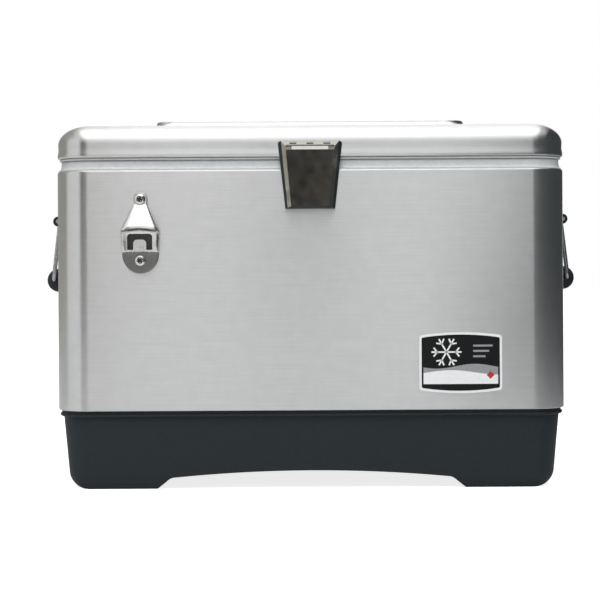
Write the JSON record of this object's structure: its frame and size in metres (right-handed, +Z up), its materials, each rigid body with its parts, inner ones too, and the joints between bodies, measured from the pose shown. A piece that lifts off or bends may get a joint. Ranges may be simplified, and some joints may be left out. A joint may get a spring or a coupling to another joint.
{
  "type": "stainless steel cooler",
  "caption": "Insulated chest cooler in stainless steel with a hinged lid, a front snap latch, side bail handles, a drain and a wall bottle opener.",
  "frame": {"origin": "on the ground, in the middle of the bounding box seen from above", "axes": "+X to the right seen from the front, -Y towards the viewer in front, +Z up; X is the length over the handles"},
  "size_m": [0.64, 0.4286, 0.42],
  "materials": {
    "stainless_steel": "brushed",
    "hinge_steel": "satin",
    "cast_steel": "polished casting",
    "zinc_steel": "zinc plated",
    "black_nickel": "smoked black nickel plating",
    "black_plastic": "fine moulded grain",
    "white_plastic": "smooth moulded polyethylene",
    "grip_rubber": "soft grip",
    "foam": "rigid polyurethane foam",
    "badge_print": "printed plate"
  },
  "bodies": {
    "cooler_body": {"base_tub": "black_plastic", "outer_shell": "stainless_steel", "inner_liner": "white_plastic", "body_insulation": "foam", "hinge_left_body_leaf": "hinge_steel", "hinge_left_pin": "zinc_steel", "hinge_right_body_leaf": "hinge_steel", "hinge_right_pin": "zinc_steel", "hinge_left_body_screw_left": "zinc_steel", "hinge_left_body_screw_right": "zinc_steel", "hinge_right_body_screw_left": "zinc_steel", "hinge_right_body_screw_right": "zinc_steel", "latch_keeper": "black_plastic", "keeper_screw_left": "zinc_steel", "keeper_screw_right": "zinc_steel", "bottle_opener": "cast_steel", "opener_screw_upper": "zinc_steel", "opener_screw_lower": "zinc_steel", "badge_plate": "badge_print", "handle_left_mount_front": "black_plastic", "handle_left_mount_rear": "black_plastic", "handle_left_front_screw_upper": "zinc_steel", "handle_left_front_screw_lower": "zinc_steel", "handle_left_rear_screw_upper": "zinc_steel", "handle_left_rear_screw_lower": "zinc_steel", "handle_right_mount_front": "black_plastic", "handle_right_mount_rear": "black_plastic", "handle_right_front_screw_upper": "zinc_steel", "handle_right_front_screw_lower": "zinc_steel", "handle_right_rear_screw_upper": "zinc_steel", "handle_right_rear_screw_lower": "zinc_steel", "drain_spout": "white_plastic", "drain_gasket": "grip_rubber", "drain_nut": "white_plastic"},
    "lid": {"lid_shell": "stainless_steel", "lid_liner": "white_plastic", "lid_insulation": "foam", "hinge_left_lid_leaf": "hinge_steel", "hinge_right_lid_leaf": "hinge_steel", "hinge_left_lid_screw_left": "zinc_steel", "hinge_left_lid_screw_right": "zinc_steel", "hinge_right_lid_screw_left": "zinc_steel", "hinge_right_lid_screw_right": "zinc_steel", "latch_bracket": "black_plastic", "latch_pin": "zinc_steel", "latch_bracket_screw_left": "zinc_steel", "latch_bracket_screw_right": "zinc_steel"},
    "latch": {"latch_lever": "black_nickel"},
    "handle_left": {"handle_left_bail": "zinc_steel", "handle_left_grip": "grip_rubber"},
    "handle_right": {"handle_right_bail": "zinc_steel", "handle_right_grip": "grip_rubber"},
    "drain_plug": {"drain_plug_cap": "white_plastic"}
  },
  "joints": [
    {"name": "lid_hinge", "type": "hinge", "parent": "cooler_body", "child": "lid", "pos_m": [0, 0.2088, 0.369], "axis": [-1, 0, 0], "range_deg": [0, 105]},
    {"name": "latch_swing", "type": "hinge", "parent": "lid", "child": "latch", "pos_m": [0, -0.2053, 0.385], "axis": [-1, 0, 0], "range_deg": [0, 85]},
    {"name": "handle_left_swing", "type": "hinge", "parent": "cooler_body", "child": "handle_left", "pos_m": [-0.302, 0.003, 0.307], "axis": [0, 1, 0], "range_deg": [0, 95]},
    {"name": "handle_right_swing", "type": "hinge", "parent": "cooler_body", "child": "handle_right", "pos_m": [0.302, 0.003, 0.307], "axis": [0, -1, 0], "range_deg": [0, 95]},
    {"name": "drain_plug_pull", "type": "slide", "parent": "cooler_body", "child": "drain_plug", "axis": [1, 0, 0], "range_m": [0, 0.03]}
  ]
}
